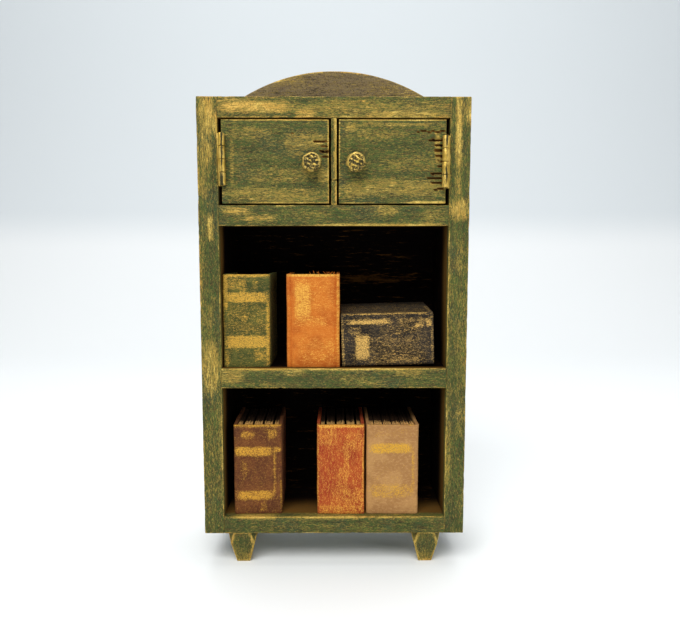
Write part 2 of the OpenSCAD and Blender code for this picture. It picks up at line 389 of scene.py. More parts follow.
def makeEdgeWear():
    # 1 along the arrises of a board, falling to 0 at the given width
    tree, given, result = startGroup(
        "edgeWear",
        [("Place", vector, (0, 0, 0)), ("Low", vector, (0, 0, 0)), ("High", vector, (1, 1, 1)),
         ("Width", number, 0.0006)],
        [("Edge", number)])
    fromLow = vectorCalc(tree, "SUBTRACT", given["Place"], given["Low"])
    fromHigh = vectorCalc(tree, "SUBTRACT", given["High"], given["Place"])
    near = addNode(tree, "ShaderNodeSeparateXYZ",
                   {0: vectorCalc(tree, "MINIMUM", fromLow, fromHigh)}).outputs
    smaller = calc(tree, "MINIMUM", near[0], near[1])
    larger = calc(tree, "MAXIMUM", near[0], near[1])
    middle = calc(tree, "MAXIMUM", smaller, calc(tree, "MINIMUM", larger, near[2]))
    tree.links.new(ramp(tree, middle, 0.0, given["Width"], 1.0, 0.0), result["Edge"])
    return tree


def makeWoodGrain():
    # fine raised grain lines and the dark pores between them
    tree, given, result = startGroup(
        "woodGrain",
        [("Place", vector, (0, 0, 0)), ("Stretch", vector, (1, 1, 1)), ("Scale", number, 2200.0)],
        [("Height", number), ("Pores", number)])
    drawn = vectorCalc(tree, "MULTIPLY", given["Place"], given["Stretch"])
    fine = noiseField(tree, drawn, given["Scale"], 4.0, 0.7)
    broad = noiseField(tree, drawn, times(tree, given["Scale"], 0.27))
    height = plus(tree, times(tree, fine, 0.7), times(tree, broad, 0.3))
    tree.links.new(height, result["Height"])
    tree.links.new(ramp(tree, fine, 0.46, 0.35), result["Pores"])
    return tree


def makeClothWeave():
    # crossing threads, from the piece's own flat map in millimetres
    tree, given, result = startGroup(
        "clothWeave", [("Map", vector, (0, 0, 0)), ("Threads", number, 2.6)],
        [("Height", number)])
    waver = noiseField(tree, given["Map"], 0.9, output="Color")
    bent = vectorCalc(tree, "ADD", given["Map"],
                      addNode(tree, "ShaderNodeVectorMath", {0: waver, "Scale": 0.35},
                              operation="SCALE").outputs[0])
    axes = addNode(tree, "ShaderNodeSeparateXYZ", {0: bent}).outputs
    turn = times(tree, given["Threads"], 2 * math.pi)
    warp, weft = [calc(tree, "SINE", times(tree, axes[side], turn)) for side in (0, 1)]
    crossing = times(tree, warp, weft)
    ribs = plus(tree, calc(tree, "ABSOLUTE", warp), calc(tree, "ABSOLUTE", weft))
    both = plus(tree, times(tree, crossing, 0.25), times(tree, ribs, 0.25))
    tree.links.new(calc(tree, "ADD", both, 0.25, clamp=True), result["Height"])
    return tree


def makePaintGrit():
    # the tooth of dry paint: tiny dark pits, and crumbs that break up what is brushed on top
    tree, given, result = startGroup("paintGrit", [("Place", vector, (0, 0, 0))],
                                     [("Pits", number), ("Crumbs", number)])
    speck = noiseField(tree, given["Place"], 3600.0, 2.0, 0.6)
    tree.links.new(ramp(tree, speck, 0.50, 0.36), result["Pits"])
    tree.links.new(ramp(tree, speck, 0.38, 0.54, 0.3, 1.0), result["Crumbs"])
    return tree


dryBrush = makeDryBrush()
paintGrit = makePaintGrit()
edgeWear = makeEdgeWear()
woodGrain = makeWoodGrain()
clothWeave = makeClothWeave()


def brushMask(tree, place, scale, coverage, softness, seed, stretch=(1, 1, 1)):
    return useGroup(tree, dryBrush, {
        "Place": place, "Stretch": stretch, "Scale": scale, "Coverage": coverage,
        "Softness": softness, "Seed": seed})["Mask"]


def startMaterial(name, roughness=0.6):
    material = bpy.data.materials.new(name)
    material.use_nodes = True
    tree = material.node_tree
    shader = tree.nodes["Principled BSDF"]
    shader.inputs["Roughness"].default_value = roughness
    shader.inputs["Specular IOR Level"].default_value = 0.25
    return material, tree, shader


def objectPlace(tree):
    return addNode(tree, "ShaderNodeTexCoord").outputs["Object"]


def addBump(tree, shader, height, strength, distance):
    bump = addNode(tree, "ShaderNodeBump",
                   {"Height": height, "Strength": strength, "Distance": distance})
    tree.links.new(bump.outputs["Normal"], shader.inputs["Normal"])


paintwork = {
    "front": {"green": (58, 75, 32), "greenLight": (74, 90, 38), "greenBlue": (56, 74, 42),
              "brown": (70, 62, 32)},
    "back": {"green": (118, 102, 74), "greenLight": (134, 116, 80), "greenBlue": (112, 98, 76),
             "brown": (102, 84, 60)},
    "ochre": (154, 130, 56), "gold": (192, 158, 70), "goldLight": (222, 190, 98),
    "goldWarm": (196, 140, 58),
    # painted light and shade inside the compartments: the warm brown is the inside paint where light
    # reaches near the front edge, and the near-black is that paint under painted shade deeper in; the
    # gold is real streaks
    "inside": (7, 3, 2), "insideLitBrown": (96, 70, 32), "insideGold": (96, 64, 24),
    "pores": (28, 25, 12),
}


def paintedBoard(name, along, wear=0.05, speckle=0.3, edge=0.45, brown=0.42, palette="front"):
    # green over brown with gold dragged over it, and dark brown paint inside the compartments, lit
    # brown by painted light near their front edges and near-black under painted shade deeper in
    material, tree, shader = startMaterial(name)
    coats = paintwork[palette]
    place = objectPlace(tree)
    stretch = tuple(0.14 if axis == along else 1.0 for axis in "xyz")
    fineStretch = tuple(0.2 if axis == along else 1.0 for axis in "xyz")
    gilt = attribute(tree, "gilt")
    insideShade = attribute(tree, "inside")
    worn = useGroup(tree, edgeWear, {
        "Place": place, "Low": attribute(tree, "low", True), "High": attribute(tree, "high", True),
        "Width": 0.0006})["Edge"]
    grain = useGroup(tree, woodGrain, {"Place": place, "Stretch": stretch, "Scale": 2400.0})
    patches = noiseField(tree, vectorCalc(tree, "MULTIPLY", place, stretch), 420.0, 5.0)
    cool = noiseField(tree, place, 130.0)
    grit = useGroup(tree, paintGrit, {"Place": place})

    green = blendColours(tree, ramp(tree, patches, 0.35, 0.68), tint(*coats["green"]),
                         tint(*coats["greenLight"]))
    green = blendColours(tree, ramp(tree, cool, 0.5, 0.7), green, tint(*coats["greenBlue"]))
    bare = brushMask(tree, place, 4200.0, brown, 0.26, 3.0, fineStretch)
    coat = blendColours(tree, bare, green, tint(*coats["brown"]))
    dark = calc(tree, "MAXIMUM", times(tree, grain["Pores"], 0.75), times(tree, grit["Pits"], 0.6))
    coat = blendColours(tree, dark, coat, tint(*paintwork["pores"]))

    # speckle of ochre everywhere, then the brushed gold where it was laid on
    dots = plus(tree, times(tree, gilt, 0.4),
                ramp(tree, patches, 0.3, 0.7, speckle - 0.04, speckle + 0.04))
    dotted = brushMask(tree, place, 7400.0, dots, 0.15, 9.0, fineStretch)
    coat = blendColours(tree, times(tree, dotted, 0.78), coat, tint(*paintwork["ochre"]))
    laid = plus(tree, times(tree, gilt, 0.7), times(tree, worn, edge))
    laid = plus(tree, laid, ramp(tree, patches, 0.4, 0.8, 0.0, wear))
    brushed = brushMask(tree, place, 4200.0, laid, 0.22, 1.0, stretch)
    brushed = times(tree, brushed, grit["Crumbs"])
    gold = blendColours(tree, ramp(tree, grain["Height"], 0.45, 0.6), tint(*paintwork["gold"]),
                        tint(*paintwork["goldLight"]))
    gold = blendColours(tree, ramp(tree, cool, 0.5, 0.36, 0.0, 0.4), gold,
                        tint(*paintwork["goldWarm"]))
    outside = blendColours(tree, brushed, coat, gold)

    # the gold streaks inside thin out deeper in: partly real streaks, partly painted shade
    drawn = plus(tree, times(tree, gilt, 0.5), ramp(tree, insideShade, 0.1, 0.9, 0.42, 0.14))
    streaks = brushMask(tree, place, 1500.0, drawn, 0.2, 5.0, stretch)
    # painted shade: the inside paint goes from its lit brown at the front edge to near-black deeper
    # in
    innerPaintAndShade = blendColours(tree, ramp(tree, insideShade, 0.1, 1.0), tint(*paintwork["insideLitBrown"]),
                         tint(*paintwork["inside"]))
    innerPaintAndShade = blendColours(tree, times(tree, streaks, 0.7), innerPaintAndShade, tint(*paintwork["insideGold"]))
    hidden = ramp(tree, insideShade, 0.0, 0.1)
    tree.links.new(blendColours(tree, hidden, outside, innerPaintAndShade), shader.inputs["Base Color"])

    tree.links.new(ramp(tree, hidden, 0.0, 1.0, 0.25, 0.04), shader.inputs["Specular IOR Level"])
    shine = times(tree, brushed, calc(tree, "SUBTRACT", 1.0, hidden))
    tree.links.new(ramp(tree, shine, 0.0, 1.0, 0.75, 0.45, smooth=False), shader.inputs["Roughness"])
    tree.links.new(times(tree, shine, 0.35), shader.inputs["Metallic"])
    relief = plus(tree, grain["Height"], times(tree, brushed, 0.25))
    relief = calc(tree, "SUBTRACT", relief, times(tree, grit["Pits"], 0.2))
    addBump(tree, shader, relief, 0.6, 0.00025)
    return material


# each gold stroke is a middle, a half size and a strength on the front face, in millimetres
# each board's depth setting is how far in from the front edge, in millimetres, painted light keeps
# the brown inside paint light before painted shade darkens it
boards = {
    "side_left": {"along": "z", "paintedLightDepth": 9, "strokes": [
        (-30.5, 113, 1.9, 4.6, 0.75), (-31.0, 105.5, 1.7, 5, 0.55), (-31.8, 98, 1.2, 5.5, 0.4),
        (-28.3, 110.5, 0.4, 3, 0.7), (-30.2, 86.2, 0.8, 3.2, 0.75), (-30.6, 51.5, 2.2, 7, 0.62),
        (-32.4, 73, 0.7, 12, 0.3), (-31.5, 24, 1.5, 11, 0.25), (-28.6, 30, 0.5, 14, 0.35),
        (-30.5, 64, 0.9, 3, 0.3)]},
    "side_right": {"along": "z", "paintedLightDepth": 12, "strokes": [
        (30.1, 109, 0.9, 9.5, 0.8), (30.2, 98, 0.6, 4.5, 0.5), (32.2, 114.2, 1, 3.6, 0.5),
        (30.4, 90.6, 2.3, 2.6, 0.7), (31.4, 55, 1.5, 18, 0.22), (28.7, 33, 0.6, 15, 0.35),
        (31.8, 38, 1, 4, 0.4), (28.5, 66, 0.5, 15, 0.3), (31, 79, 1, 4, 0.3)]},
    "top_board": {"along": "x", "paintedLightDepth": 3, "strokes": [
        (-18.8, 114.8, 9.4, 1.4, 0.85), (-6.8, 113.4, 2.7, 0.9, 0.75), (-26, 116.4, 5, 0.9, 0.5),
        (-3.6, 114.8, 6, 0.5, 0.5), (16.7, 113.1, 11.5, 0.5, 0.8), (18, 115.2, 9, 0.6, 0.3),
        (-14, 113.2, 6, 0.5, 0.3), (4, 116.6, 7, 0.5, 0.4), (26.6, 113.6, 1.3, 2.6, 0.4),
        (12, 114.4, 18, 2.2, 0.4), (-20, 115, 12, 2.4, 0.35)]},
    "cupboard_floor": {"along": "x", "paintedLightDepth": 3, "strokes": [
        (-23.9, 90.2, 3.6, 0.9, 0.7), (-18.2, 88.5, 4.4, 0.8, 0.65), (12, 87.0, 15, 0.45, 0.7),
        (12.8, 90.4, 2.8, 1.2, 0.5), (24, 89.2, 3, 1.8, 0.3), (-6, 89.5, 5, 0.6, 0.25)]},
    "middle_shelf": {"along": "x", "paintedLightDepth": 3.5, "strokes": [
        (-25.6, 49.5, 3.2, 1.8, 0.6), (-15, 47.4, 6, 0.6, 0.35), (0, 51.3, 27, 0.35, 0.5),
        (-10, 50.4, 3, 0.8, 0.5), (18.5, 50.4, 4, 0.8, 0.5), (8, 47.8, 5, 0.5, 0.3),
        (4, 49.4, 6, 0.5, 0.25)]},
    "bottom_board": {"along": "x", "paintedLightDepth": 15, "strokes": [
        (-20, 12.9, 6, 0.45, 0.8), (-1, 12.8, 9, 0.45, 0.7), (14, 12.9, 9, 0.35, 0.4),
        (-8, 10.4, 12, 0.6, 0.2)]},
    "divider_upper": {"along": "z", "paintedLightDepth": 2, "strokes": [
        (0.55, 104.8, 0.42, 9, 0.85), (0.5, 99.4, 0.5, 1.2, 0.6)]},
    "divider_lower": {"along": "z", "paintedLightDepth": 2, "strokes": [(0.55, 94.2, 0.4, 3, 0.6)]},
}
boardFinish = {"round": 0.22, "step": 0.8, "drift": 0.05, "driftSize": 7.0, "nick": 0.14,
               "nickBand": 0.35, "nickSize": 1.6, "seam": 0.07}


def strokeShare(place, strokes, solid=0.6, faded=1.35, square=3):
    # how strongly the strokes cover a point, from 0 to 1, by its x and z
    best = 0.0
    for x, z, halfX, halfZ, strength in strokes:
        across = abs(place[0] / mm - x) / halfX
        up = abs(place[2] / mm - z) / halfZ
        if across > faded or up > faded:
            continue
        reach = (across ** square + up ** square) ** (1 / square)
        best = max(best, strength * (1 - smoothStep(reach, solid, faded)))
    return best


def edgeGap(place, low, high):
    gaps = sorted(min(place[axis] - low[axis], high[axis] - place[axis]) for axis in range(3))
    return gaps[1]


def gridBlock(name, low, high, rounding, step, along=None):
    # a cube with rounded arrises, cut into a fine grid for painting and denting;
    # with a direction given, its ends butt against its neighbours and stay sharp
    piece = startCube(name, low, high)
    openEdit(piece)
    pick(piece, "edges", lambda e: along is None
         or abs((e.verts[1].co - e.verts[0].co)["xyz".index(along)]) > mm)
    bpy.ops.mesh.bevel(offset=rounding * mm, segments=2, affect="EDGES")
    for axis in range(3):
        cutAlong(piece, axis, step * mm)
    closeEdit()
    return piece


def dentEdges(piece, low, high, depth, seed):
    centre = (low + high) / 2
    offset = Vector((seed, 2 * seed, 5 * seed))
    for vertex in piece.data.vertices:
        if edgeGap(vertex.co, low, high) < boardFinish["nickBand"] * mm:
            bite = max(0.0, noise.noise(vertex.co / (boardFinish["nickSize"] * mm) + offset) - 0.12)
            inward = centre - vertex.co
            inward.x = math.copysign(1, inward.x)
            inward.y = math.copysign(1, inward.y)
            inward.z = math.copysign(1, inward.z)
            vertex.co += inward * bite * depth * mm


def weather(piece, low, high, finish, seed):
    roughen(piece, finish["drift"], finish["driftSize"], seed)
    dentEdges(piece, low, high, finish["nick"], seed)


def compartmentShadeShare(place, low, high, kind):
    # from 0 on what is seen from outside to 1 deep in a compartment, for the painted shade that
    # darkens the inside paint further in from the front edge
    share = smoothStep(place[1], low[1] + 0.3 * mm, low[1] + boards[kind]["paintedLightDepth"] * mm)
    faces = {"side_left": (place[0], high[0]), "side_right": (-place[0], -low[0]),
             "top_board": (-place[2], -low[2]), "bottom_board": (place[2], high[2])}
    if kind in faces:
        out, face = faces[kind]
        share *= smoothStep(out, face - 0.3 * mm, face - 0.1 * mm)
    return share


def paintMarks(piece, low, high, strokes, insideShadeOf, butted=None):
    # ends that butt against a neighbour get no worn edge, so the box is marked longer there
    places = points(piece)
    spare = Vector([5 * mm if axis == butted else 0 for axis in "xyz"])
    front = low[1]
    gilt = [strokeShare(p, strokes) * (1 - smoothStep(p[1], front + 1.5 * mm, front + 4 * mm))
            for p in places]
    mark(piece, "gilt", gilt)
    # the inside mark carries the inside paint together with its painted shade
    mark(piece, "inside", [insideShadeOf(p) for p in places])
    mark(piece, "low", low - spare)
    mark(piece, "high", high + spare)


def makeBoards(materials):
    for seed, (node, spec) in enumerate(boards.items()):
        low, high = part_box(node)
        butted = spec["along"] if spec["along"] == "x" else None
        seam = Vector((0, 0, boardFinish["seam"] * mm))
        start = low + seam if node == "divider_upper" else low
        end = high - seam if node == "divider_lower" else high
        piece = gridBlock(node + "_painted", start, end, boardFinish["round"], boardFinish["step"],
                          butted)
        paintMarks(piece, low, high, spec["strokes"],
                   lambda p: compartmentShadeShare(p, low, high, node), butted)
        weather(piece, low, high, boardFinish, seed + 1)
        finishPiece(piece, materials[spec["along"]], "carcass", "green_paint", node)


backPanel = {
    "step": 1.0, "round": 0.3, "drift": 0.04, "driftSize": 8, "insideShadeFrom": 4, "insideShadeTo": 2,
    "strokes": [(13, 73, 12, 1.6, 0.7), (-6, 69, 9, 1.2, 0.3), (14, 79, 9, 1, 0.3),
                (17, 124, 8, 3.5, 0.3), (-13, 128, 6, 1.6, 0.4), (4, 63, 14, 1.4, 0.25),
                (0, 129.6, 18, 0.8, 0.3)],
}


def makeBack(material):
    low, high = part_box("back_panel")
    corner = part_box("side_left")[1].z
    half = (high.x - low.x) / 2
    rise = high.z - corner
    radius = (half * half + rise * rise) / (2 * rise)

    def crestAt(x):
        return high.z - radius + math.sqrt(max(0.0, radius * radius - x * x))

    piece = gridBlock("back_panel_painted", low, high, backPanel["round"], backPanel["step"])
    for vertex in piece.data.vertices:
        share = (vertex.co.z - low.z) / (high.z - low.z)
        vertex.co.z = low.z + share * (crestAt(vertex.co.x) - low.z)
    places = points(piece)
    front = low.y

    # painted shade: the back's front face, the back wall of the compartments, takes the near-black
    # inside paint up to just below the top of the sides
    def insideShade(p):
        below = 1 - smoothStep(p[2], corner - backPanel["insideShadeFrom"] * mm,
                               corner - backPanel["insideShadeTo"] * mm)
        return (1 - smoothStep(p[1], front + 0.2 * mm, front + 0.5 * mm)) * below

    mark(piece, "gilt", [strokeShare(p, backPanel["strokes"])
                         * (1 - smoothStep(p[1], front + 0.3 * mm, front + 1 * mm)) for p in places])
    mark(piece, "inside", [insideShade(p) for p in places])
    mark(piece, "low", low)
    mark(piece, "high", [(high.x, high.y, crestAt(p[0])) for p in places])
    roughen(piece, backPanel["drift"], backPanel["driftSize"], 31)
    finishPiece(piece, material, "carcass", "aged_paint", "back_panel")


doorFinish = {"round": 0.16, "step": 0.28, "drift": 0.03, "driftSize": 6, "nick": 0.08,
              "waver": 0.18, "cutShadeFrom": 0.14, "cutShadeTo": 0.26}
# each cut is a start and an end across, a level, a half width and a depth, in millimetres
doors = {
    "door_left": {
        "strokes": [
            (-7, 107.2, 5.5, 2, 0.45), (-19.9, 108.7, 6, 1.4, 0.3), (-2.6, 98.8, 1.4, 2, 0.5),
            (-13.7, 94.2, 12, 1.8, 0.4), (-12.3, 98.8, 9, 1.6, 0.3), (-9, 104.6, 2, 1.4, 0.3),
            (-24.6, 102, 0.5, 6, 0.35), (-13.5, 111.9, 13, 0.22, 0.7), (-1.35, 104, 0.2, 8, 0.75),
            (-1.35, 96, 0.16, 4, 0.45), (-11, 92.25, 9, 0.16, 0.5)],
        "cuts": [
            (-5.2, -1.1, 106.9, 0.14, 0.35), (-3.4, -1.1, 105.6, 0.14, 0.3),
            (-3.6, -1.1, 104.4, 0.2, 0.5), (-3.0, -1.1, 103.2, 0.18, 0.4),
            (-12.5, -9, 108.6, 0.12, 0.2), (-2.4, -1.1, 95, 0.12, 0.2),
            (-8.5, -5.5, 97.2, 0.1, 0.15), (-20, -17, 103.4, 0.1, 0.12)]},
    "door_right": {
        "strokes": [
            (16.5, 95.8, 11, 2.2, 0.42), (5.4, 95.3, 4, 2, 0.42), (9.8, 108.5, 7, 1.4, 0.28),
            (25.0, 105.4, 0.7, 4, 0.7), (14.3, 110.7, 11, 0.5, 0.4), (18.7, 101.5, 7, 2, 0.22),
            (22.7, 92.3, 5, 0.35, 0.8), (4, 110, 1.5, 1.2, 0.5), (14, 111.9, 13, 0.22, 0.6),
            (17, 110.9, 7, 0.3, 0.6), (1.4, 105, 0.2, 7, 0.45), (5, 92.25, 3, 0.16, 0.4)],
        "cuts": [
            (19.5, 27.1, 109.2, 0.14, 0.3), (22.6, 27.1, 107.1, 0.2, 0.45),
            (24.2, 27.1, 105.9, 0.18, 0.45), (24.2, 27.1, 104.7, 0.2, 0.5),
            (24.3, 27.1, 103.4, 0.18, 0.45), (24.9, 27.1, 102.2, 0.12, 0.3),
            (24.7, 27.1, 101, 0.12, 0.3), (23.2, 27.1, 99.2, 0.16, 0.4),
            (22.4, 27.1, 98.1, 0.16, 0.45), (23.4, 27.1, 97, 0.14, 0.4),
            (23.8, 27.1, 95.5, 0.14, 0.4), (6, 9.5, 105.8, 0.1, 0.15), (10, 14, 99.4, 0.1, 0.12)]},
}


def cutDepth(place, cuts, seed):
    # how deep the deepest saw or knife mark is at a place on the front, in millimetres
    x, z = place[0] / mm, place[2] / mm
    deepest = 0
    for start, end, level, half, depth in cuts:
        waver = doorFinish["waver"] * noise.noise(Vector((x * 0.9, level, seed)))
        across = 1 - smoothStep(abs(z - level - waver), 0.3 * half, 1.7 * half)
        ends = smoothStep(x, start - 0.4, start + 0.9) * smoothStep(-x, -end - 0.4, -end + 0.9)
        deepest = max(deepest, across * max(ends, 0) * depth)
    return deepest


def makeDoors(material):
    for seed, (node, spec) in enumerate(doors.items()):
        low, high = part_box(node)
        piece = gridBlock(node + "_painted", low, high, doorFinish["round"], doorFinish["step"])

        # painted shade: the back face takes the near-black inside paint, and the saw and knife cuts
        # are painted dark where shade falls in them
        def cutAndBackShadeAt(p):
            behind = smoothStep(p[1], high[1] - 0.5 * mm, high[1] - 0.2 * mm)
            cut = cutDepth(p, spec["cuts"], seed)
            return max(behind, smoothStep(cut, doorFinish["cutShadeFrom"], doorFinish["cutShadeTo"]))

        paintMarks(piece, low, high, spec["strokes"], cutAndBackShadeAt)
        weather(piece, low, high, doorFinish, seed + 21)
        for vertex in piece.data.vertices:
            if vertex.co.y < low.y + 0.3 * mm:
                vertex.co.y += cutDepth(vertex.co, spec["cuts"], seed) * mm
        finishPiece(piece, material, node, "green_paint", node)


feet = {"round": 0.14, "finest": 0.4, "gilt": 0.16, "arrisGilt": 0.75, "tipGilt": 0.3,
        "drift": 0.03, "driftSize": 2.5, "level": 4}


def makeFeet(material):
    for seed, node in enumerate(["foot_front_left", "foot_front_right",
                                 "foot_back_left", "foot_back_right"]):
        low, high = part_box(node)
        piece = copyPiece(frame["nodes"][node])
        piece.name = node + "_painted"
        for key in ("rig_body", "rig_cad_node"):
            del piece[key]
        piece.parent = None
        openWhole(piece)
        bpy.ops.mesh.remove_doubles(threshold=0.005 * mm)
        bpy.ops.mesh.dissolve_limited(angle_limit=math.radians(2))
        closeEdit()
        arrises = [(piece.data.vertices[e.vertices[0]].co.copy(),
                    piece.data.vertices[e.vertices[1]].co.copy()) for e in piece.data.edges]
        openWhole(piece, "EDGE")
        bpy.ops.mesh.bevel(offset=feet["round"] * mm, segments=2, affect="EDGES")
        bpy.ops.mesh.select_all(action="SELECT")
        bpy.ops.mesh.quads_convert_to_tris()
        for turn in range(3):
            bpy.ops.mesh.select_all(action="DESELECT")
            if pick(piece, "edges", lambda e: e.calc_length() > feet["finest"] * mm):
                bpy.ops.mesh.subdivide(number_cuts=1)
        closeEdit()

        def nearArris(place):
            best = 1.0
            for start, end in arrises:
                line = end - start
                share = min(1, max(0, (place - start).dot(line) / line.length_squared))
                best = min(best, (place - start - line * share).length)
            return 1 - smoothStep(best / mm, 0.12, 0.5)

        gilt = []
        for vertex in piece.data.vertices:
            tip = 1 - smoothStep(vertex.co.z / mm, 0.5, 4.0)
            rubbed = feet["arrisGilt"] * nearArris(vertex.co) + feet["tipGilt"] * tip
            gilt.append(min(1, feet["gilt"] + rubbed))
        mark(piece, "gilt", gilt)
        mark(piece, "inside", [0.0] * len(gilt))
        mark(piece, "low", low - Vector((1, 1, 1)))
        mark(piece, "high", high + Vector((1, 1, 1)))
        roughen(piece, feet["drift"], feet["driftSize"], seed + 41)
        lift = -min(v.co.z for v in piece.data.vertices)
        for vertex in piece.data.vertices:
            vertex.co.z += lift * (1 - smoothStep(vertex.co.z / mm, 0, feet["level"]))
        finishPiece(piece, material, "carcass", "aged_paint", node)


metals = {
    "hinge": {"name": "hingeBrass", "gold": (194, 160, 70), "dark": (46, 44, 17),
              "coverage": 0.32, "stretch": (1, 1, 0.25)},
    "knob": {"name": "knobGilt", "gold": (202, 170, 80), "dark": (46, 42, 18), "coverage": 0.05},
}


def agedGilt(name, gold, dark, coverage, scale=1600.0, roughness=0.42, stretch=(1, 1, 1)):
    # brass rubbed bright where it is marked gilt, and dark in between
    material, tree, shader = startMaterial(name, roughness)
    place = objectPlace(tree)
    worn = plus(tree, times(tree, attribute(tree, "gilt"), 0.75), coverage)
    rubbed = brushMask(tree, place, scale, worn, 0.25, 2.0, stretch)
    tone = noiseField(tree, place, 700.0)
    bright = blendColours(tree, ramp(tree, tone, 0.35, 0.65), tint(*gold),
                          tint(*[min(255, c + 30) for c in gold]))
    tree.links.new(blendColours(tree, rubbed, tint(*dark), bright), shader.inputs["Base Color"])
    tree.links.new(times(tree, rubbed, 0.75), shader.inputs["Metallic"])
    tree.links.new(ramp(tree, rubbed, 0.0, 1.0, 0.7, roughness, smooth=False),
                   shader.inputs["Roughness"])
    pitted = noiseField(tree, place, 2600.0, 4.0)
    addBump(tree, shader, plus(tree, pitted, times(tree, rubbed, 0.3)), 0.5, 0.0002)
    return material


def drawLine(name, path):
    # a line drawn point by point, for rolled, turned and folded shapes
    deselectAll()
    bpy.ops.mesh.primitive_plane_add(size=mm)
    piece = bpy.context.active_object
    piece.name = name
    openWhole(piece)
    bpy.ops.mesh.merge(type="CENTER")
    bpy.ops.transform.translate(value=path[0])
    for start, end in zip(path, path[1:]):
        bpy.ops.mesh.extrude_region_move(TRANSFORM_OT_translate={"value": end - start})
    closeEdit()
    return piece


def turnedShape(name, path, centre, axis, steps):
    piece = drawLine(name, path)
    openWhole(piece)
    bpy.ops.mesh.spin(steps=steps, angle=2 * math.pi, center=centre, axis=axis)
    closeEdit()
    mergeAndTurnOut(piece)
    return piece


def thicken(piece, thickness, rounding):
    wall = piece.modifiers.new("wall", "SOLIDIFY")
    wall.thickness = thickness
    wall.offset = 0
    wall.use_even_offset = True
    soften = piece.modifiers.new("soften", "BEVEL")
    soften.width = rounding
    soften.segments = 2
    soften.limit_method = "ANGLE"
    soften.angle_limit = math.radians(50)
    finishModifiers(piece)


# each knuckle is a strip rolled round the pin and set into its leaf
hinge = {"leaf": 0.35, "gap": 0.16, "turn": 330, "count": 4, "round": 0.09, "stripe": 0.12,
         "stripeHalf": 0.3, "lean": {"left": 1.0, "right": -0.3}, "rollSteps": 22,
         "pinSteps": 24,
         "pinProud": 0.12, "pinCore": 0.45, "domeRings": 4, "drift": 0.025, "driftSize": 1.2}


def rolledKnuckle(centre, radius, bottom, top, plateX, neckY):
    # an upright line behind the pin is spun round it, then pulled across and back to the leaf
    lies = math.copysign(1, plateX - centre.x)
    start = Vector((centre.x, centre.y + radius, bottom))
    piece = drawLine("knuckle", [start, Vector((start.x, start.y, top))])
    openWhole(piece)
    bpy.ops.mesh.spin(steps=hinge["rollSteps"], angle=lies * math.radians(hinge["turn"]),
                      center=(centre.x, centre.y, 0), axis=(0, 0, 1))
    bpy.ops.mesh.select_all(action="DESELECT")
    pick(piece, "verts", lambda v: (v.co.xy - start.xy).length < 0.01 * mm)
    bpy.ops.mesh.extrude_region_move(TRANSFORM_OT_translate={"value": (plateX - start.x, 0, 0)})
    bpy.ops.mesh.extrude_region_move(TRANSFORM_OT_translate={"value": (0, neckY - start.y, 0)})
    closeEdit()
    thicken(piece, hinge["leaf"] * mm, hinge["round"] * mm)
    return piece


def hingePin(name, low, high):
    # a wire with both ends domed over just outside the barrel; it is thinner inside, so that
    # the leaning knuckles turn round it freely
    radius = (high.x - low.x) / 2
    proud = hinge["pinProud"] * mm
    middle = (low + high) / 2
    outline = [Vector((0, 0, low.z - proud))]
    for turn in range(1, hinge["domeRings"] + 1):
        angle = math.pi / 2 * turn / hinge["domeRings"]
        outline.append(Vector((radius * math.sin(angle), 0, low.z - proud * math.cos(angle))))
    outline.append(Vector((hinge["pinCore"] * radius, 0, low.z + 0.02 * mm)))
    outline += [Vector((p.x, 0, low.z + high.z - p.z)) for p in reversed(outline)]
    foot = Vector((middle.x, middle.y, 0))
    return turnedShape(name, [p + foot for p in outline], foot, (0, 0, 1), hinge["pinSteps"])


def finishHinge(piece, material, side, centre, body, node):
    turn = Matrix.Rotation(math.radians(-hinge["lean"][side]), 4, "Y")
    piece.data.transform(Matrix.Translation(centre) @ turn @ Matrix.Translation(-centre))
    shown = piece.dimensions.z / 2 - 0.1 * mm if node.endswith("pin") else 0
    rubbed = []
    for vertex in piece.data.vertices:
        bare = 0.75 + 0.5 * noise.noise(vertex.co / (0.9 * mm) + Vector((5, 1, centre.x / mm)))
        waver = 0.18 * noise.noise(Vector((0, 0, vertex.co.z / mm)) + Vector((2, 3, centre.x / mm)))
        stripe = abs((vertex.co.x - centre.x) / mm - hinge["stripe"] - waver) / hinge["stripeHalf"]
        rubbed.append(bare * smoothStep(stripe, 0.4, 1.3) * (abs(vertex.co.z - centre.z) >= shown))
    mark(piece, "gilt", rubbed)
    roughen(piece, hinge["drift"], hinge["driftSize"], 61)
    finishPiece(piece, material, body, "hinge_brass", node)


